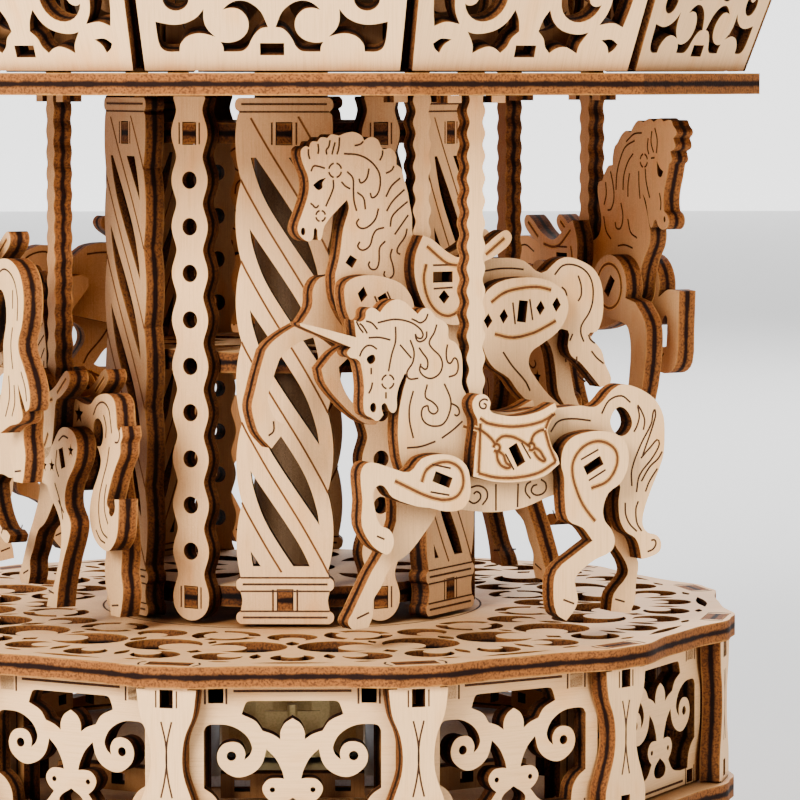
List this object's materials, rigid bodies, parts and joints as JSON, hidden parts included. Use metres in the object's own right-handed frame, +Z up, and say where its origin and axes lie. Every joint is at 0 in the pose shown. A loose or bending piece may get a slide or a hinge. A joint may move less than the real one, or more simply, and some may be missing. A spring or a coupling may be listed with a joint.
{
  "type": "carousel music box",
  "caption": "Twelve-sided laser-cut plywood carousel music box with a fretted drum base, turning columns and canopy, and pairs of riding horses that rise and fall.",
  "frame": {"origin": "on the axis, at the surface the feet stand on", "axes": "+Z up along the turning axis; -Y is the front, towards the viewer; +X is the viewer's right"},
  "size_m": [0.1472, 0.1472, 0.2013],
  "materials": {
    "birch_ply": "bare sanded birch faces with laser-charred edges",
    "steel": "satin",
    "brass": "satin"
  },
  "bodies": {
    "base": {"base_plate": "birch_ply", "deck": "birch_ply", "drum_panel_1": "birch_ply", "drum_panel_2": "birch_ply", "drum_panel_3": "birch_ply", "drum_panel_4": "birch_ply", "drum_panel_5": "birch_ply", "drum_panel_6": "birch_ply", "drum_panel_7": "birch_ply", "drum_panel_8": "birch_ply", "drum_panel_9": "birch_ply", "drum_panel_10": "birch_ply", "drum_panel_11": "birch_ply", "drum_panel_12": "birch_ply", "pilaster_1": "birch_ply", "pilaster_2": "birch_ply", "pilaster_3": "birch_ply", "pilaster_4": "birch_ply", "pilaster_5": "birch_ply", "pilaster_6": "birch_ply", "pilaster_7": "birch_ply", "pilaster_8": "birch_ply", "pilaster_9": "birch_ply", "pilaster_10": "birch_ply", "pilaster_11": "birch_ply", "pilaster_12": "birch_ply", "movement_bed": "steel", "comb": "steel", "centre_post": "birch_ply"},
    "carousel": {"drive_shaft": "steel", "spring_barrel": "brass", "lower_disc": "birch_ply", "upper_disc": "birch_ply", "wide_column_1": "birch_ply", "wide_column_2": "birch_ply", "wide_column_3": "birch_ply", "wide_column_4": "birch_ply", "wide_column_5": "birch_ply", "wide_column_6": "birch_ply", "narrow_column_1": "birch_ply", "narrow_column_2": "birch_ply", "narrow_column_3": "birch_ply", "narrow_column_4": "birch_ply", "narrow_column_5": "birch_ply", "narrow_column_6": "birch_ply", "canopy_plate": "birch_ply", "fascia": "birch_ply", "roof": "birch_ply", "finial": "birch_ply"},
    "winding_key": {"winding_key": "birch_ply"},
    "pinned_cylinder": {"pinned_cylinder": "brass"},
    "governor_fly": {"governor_fly": "brass"},
    "outer_figure_1": {"outer_figure_1": "birch_ply"},
    "inner_figure_1": {"inner_figure_1": "birch_ply"},
    "outer_figure_2": {"outer_figure_2": "birch_ply"},
    "inner_figure_2": {"inner_figure_2": "birch_ply"},
    "outer_figure_3": {"outer_figure_3": "birch_ply"},
    "inner_figure_3": {"inner_figure_3": "birch_ply"},
    "outer_figure_4": {"outer_figure_4": "birch_ply"},
    "inner_figure_4": {"inner_figure_4": "birch_ply"}
  },
  "joints": [
    {"name": "carousel_turn", "type": "hinge", "parent": "base", "child": "carousel", "pos_m": [0, 0, 0.036], "axis": [0, 0, 1], "continuous": true},
    {"name": "key_turn", "type": "hinge", "parent": "base", "child": "winding_key", "pos_m": [0, 0, 0.0045], "axis": [0, 0, 1], "continuous": true},
    {"name": "cylinder_turn", "type": "hinge", "parent": "base", "child": "pinned_cylinder", "pos_m": [0, 0.017, 0.0196], "axis": [1, 0, 0], "continuous": true},
    {"name": "fly_turn", "type": "hinge", "parent": "base", "child": "governor_fly", "pos_m": [0, -0.0175, 0.018], "axis": [0, 0, 1], "continuous": true},
    {"name": "inner_slide_1", "type": "slide", "parent": "carousel", "child": "inner_figure_1", "axis": [0, 0, 1], "range_m": [-0.02, 0]},
    {"name": "outer_slide_1", "type": "slide", "parent": "carousel", "child": "outer_figure_1", "axis": [0, 0, 1], "range_m": [0, 0.02]},
    {"name": "inner_slide_2", "type": "slide", "parent": "carousel", "child": "inner_figure_2", "axis": [0, 0, 1], "range_m": [0, 0.02]},
    {"name": "outer_slide_2", "type": "slide", "parent": "carousel", "child": "outer_figure_2", "axis": [0, 0, 1], "range_m": [-0.02, 0]},
    {"name": "inner_slide_3", "type": "slide", "parent": "carousel", "child": "inner_figure_3", "axis": [0, 0, 1], "range_m": [-0.02, 0]},
    {"name": "outer_slide_3", "type": "slide", "parent": "carousel", "child": "outer_figure_3", "axis": [0, 0, 1], "range_m": [0, 0.02]},
    {"name": "inner_slide_4", "type": "slide", "parent": "carousel", "child": "inner_figure_4", "axis": [0, 0, 1], "range_m": [0, 0.02]},
    {"name": "outer_slide_4", "type": "slide", "parent": "carousel", "child": "outer_figure_4", "axis": [0, 0, 1], "range_m": [-0.02, 0]}
  ],
  "couplings": [
    {"joint": "cylinder_turn", "follows": "carousel_turn", "ratio": -1.5},
    {"joint": "fly_turn", "follows": "carousel_turn", "ratio": -24},
    {"joint": "outer_slide_1", "follows": "inner_slide_1", "ratio": -1},
    {"joint": "outer_slide_2", "follows": "inner_slide_2", "ratio": -1},
    {"joint": "outer_slide_3", "follows": "inner_slide_3", "ratio": -1},
    {"joint": "outer_slide_4", "follows": "inner_slide_4", "ratio": -1}
  ]
}
